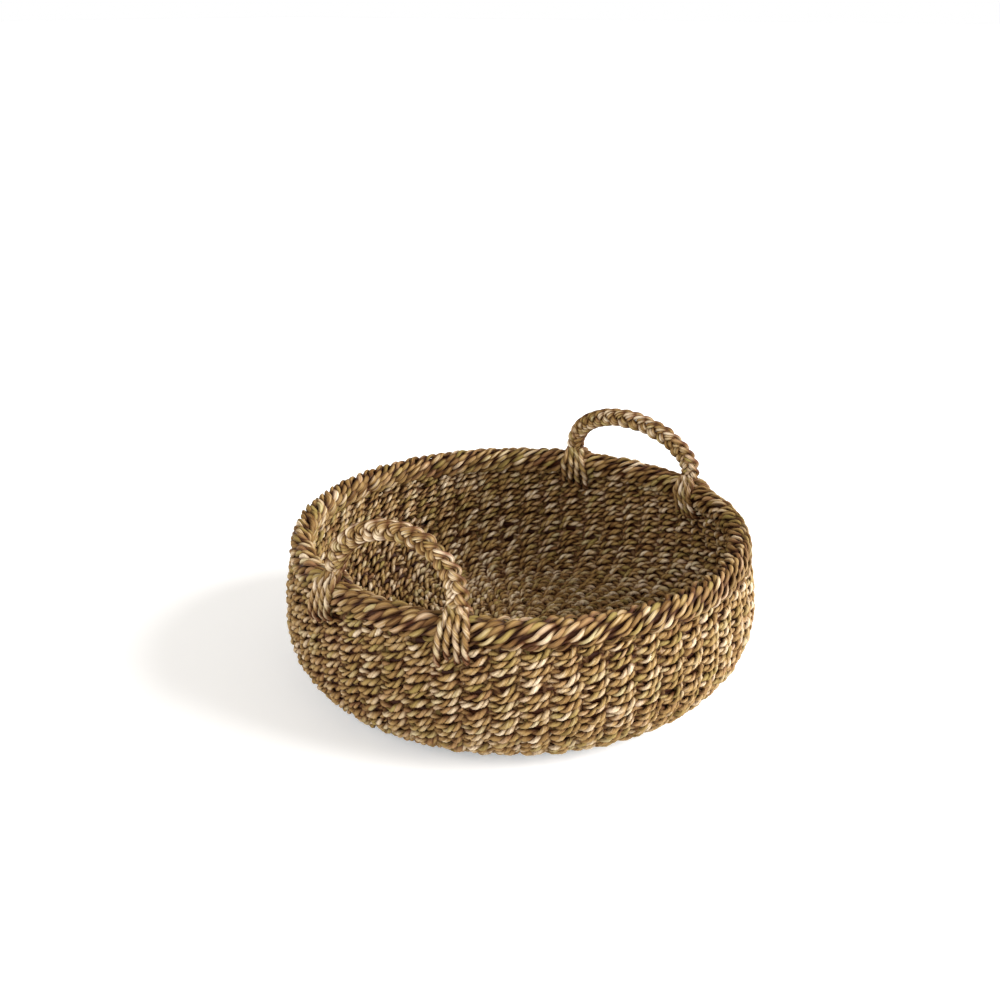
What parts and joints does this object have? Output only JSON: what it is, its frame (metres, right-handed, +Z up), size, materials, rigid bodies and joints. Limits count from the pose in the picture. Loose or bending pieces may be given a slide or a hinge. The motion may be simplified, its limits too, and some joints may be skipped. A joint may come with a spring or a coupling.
{
  "type": "seagrass storage basket",
  "caption": "Round, shallow seagrass basket twined over radial stakes, with a belly, a thick wrapped rim and a plaited loop handle on each side.",
  "frame": {"origin": "centre of the flat underside, on the surface that the basket stands on", "axes": "+Z up, along the basket's axis; handle 1 stands near +X, turned 3 degrees towards -Y, and handle 2 near -X, turned 2.5 degrees towards -Y"},
  "size_m": [0.368, 0.368, 0.1715],
  "materials": {
    "weave_outside": "dry twisted seagrass cord, matt with a slight straw sheen",
    "weave_inside": "dry twisted seagrass cord, matt",
    "stakes": "dry straight seagrass stems, matt",
    "border": "flat seagrass strands, slight straw sheen",
    "plait": "twisted seagrass strands, slight straw sheen"
  },
  "bodies": {
    "basket": {"base_weave_lower": "weave_outside", "base_weave_upper": "weave_inside", "stake_group_01": "stakes", "stake_group_02": "stakes", "stake_group_03": "stakes", "stake_group_04": "stakes", "stake_group_05": "stakes", "stake_group_06": "stakes", "stake_group_07": "stakes", "stake_group_08": "stakes", "wall_course_01_outer": "weave_outside", "wall_course_01_inner": "weave_inside", "wall_course_02_outer": "weave_outside", "wall_course_02_inner": "weave_inside", "wall_course_03_outer": "weave_outside", "wall_course_03_inner": "weave_inside", "wall_course_04_outer": "weave_outside", "wall_course_04_inner": "weave_inside", "wall_course_05_outer": "weave_outside", "wall_course_05_inner": "weave_inside", "wall_course_06_outer": "weave_outside", "wall_course_06_inner": "weave_inside", "wall_course_07_outer": "weave_outside", "wall_course_07_inner": "weave_inside", "wall_course_08_outer": "weave_outside", "wall_course_08_inner": "weave_inside", "wall_course_09_outer": "weave_outside", "wall_course_09_inner": "weave_inside", "wall_course_10_outer": "weave_outside", "wall_course_10_inner": "weave_inside", "wall_course_11_outer": "weave_outside", "wall_course_11_inner": "weave_inside", "wall_course_12_outer": "weave_outside", "wall_course_12_inner": "weave_inside", "wall_course_13_outer": "weave_outside", "wall_course_13_inner": "weave_inside", "wall_course_14_outer": "weave_outside", "wall_course_14_inner": "weave_inside", "wall_course_15_outer": "weave_outside", "wall_course_15_inner": "weave_inside", "wall_course_16_outer": "weave_outside", "wall_course_16_inner": "weave_inside", "wall_course_17_outer": "weave_outside", "wall_course_17_inner": "weave_inside", "wall_course_18_outer": "weave_outside", "wall_course_18_inner": "weave_inside", "rim_border": "border", "handle_1_foot_a": "plait", "handle_1_foot_b": "plait", "handle_2_foot_a": "plait", "handle_2_foot_b": "plait"},
    "handle_1": {"handle_1_strand_a": "plait", "handle_1_strand_b": "plait", "handle_1_strand_c": "plait"},
    "handle_2": {"handle_2_strand_a": "plait", "handle_2_strand_b": "plait", "handle_2_strand_c": "plait"}
  },
  "joints": [
    {"name": "handle_1_flex", "type": "hinge", "parent": "basket", "child": "handle_1", "pos_m": [0.1548, -0.00811, 0.1185], "axis": [0.0523, 0.9986, 0], "range_deg": [-20, 20], "stiffness_Nm_per_rad": 0.6},
    {"name": "handle_2_flex", "type": "hinge", "parent": "basket", "child": "handle_2", "pos_m": [-0.15727, -0.00687, 0.1185], "axis": [0.0436, -0.999, 0], "range_deg": [-20, 20], "stiffness_Nm_per_rad": 0.6}
  ]
}
